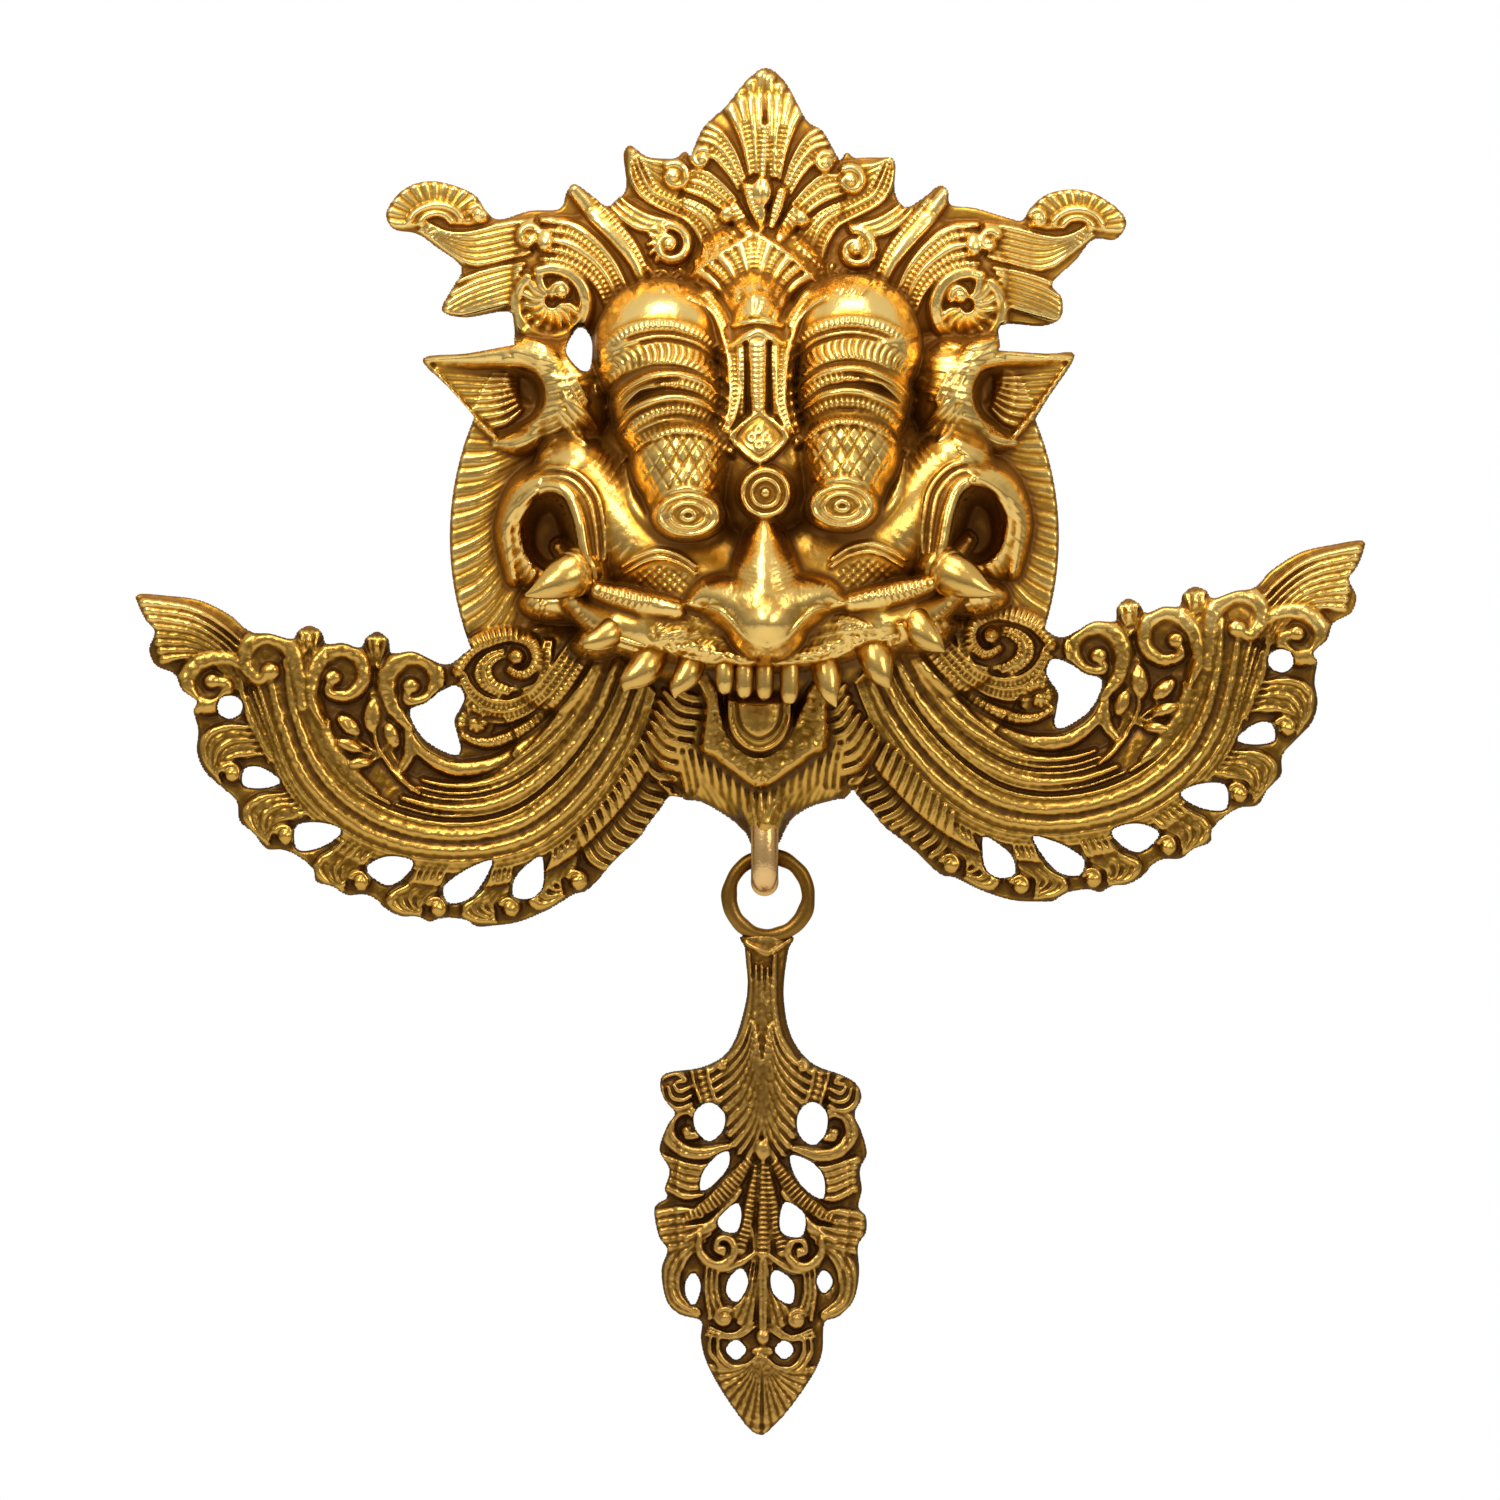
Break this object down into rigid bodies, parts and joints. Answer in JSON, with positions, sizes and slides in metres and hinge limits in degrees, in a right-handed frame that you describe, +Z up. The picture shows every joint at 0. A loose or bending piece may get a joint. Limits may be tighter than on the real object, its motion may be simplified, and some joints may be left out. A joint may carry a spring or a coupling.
{
  "type": "kirtimukha mask",
  "caption": "Cast brass kirtimukha wall mask with horned crest, bulging eyes, tusks and openwork wings, and an openwork pendant hanging from a hook under the chin.",
  "frame": {"origin": "on the flat back of the crest, above the eyes and in the middle, where the mask meets the wall", "axes": "+Y into the wall, +Z up along the mask and its pendant, +X to the right as seen from the front; the face looks along -Y"},
  "size_m": [0.3697, 0.0689, 0.4111],
  "materials": {
    "mask_brass": "polished on the high relief, brown patina in the recesses",
    "pendant_brass": "satin, darker patina than the mask"
  },
  "bodies": {
    "root": {"mask": "mask_brass", "pendant": "pendant_brass"}
  },
  "joints": []
}
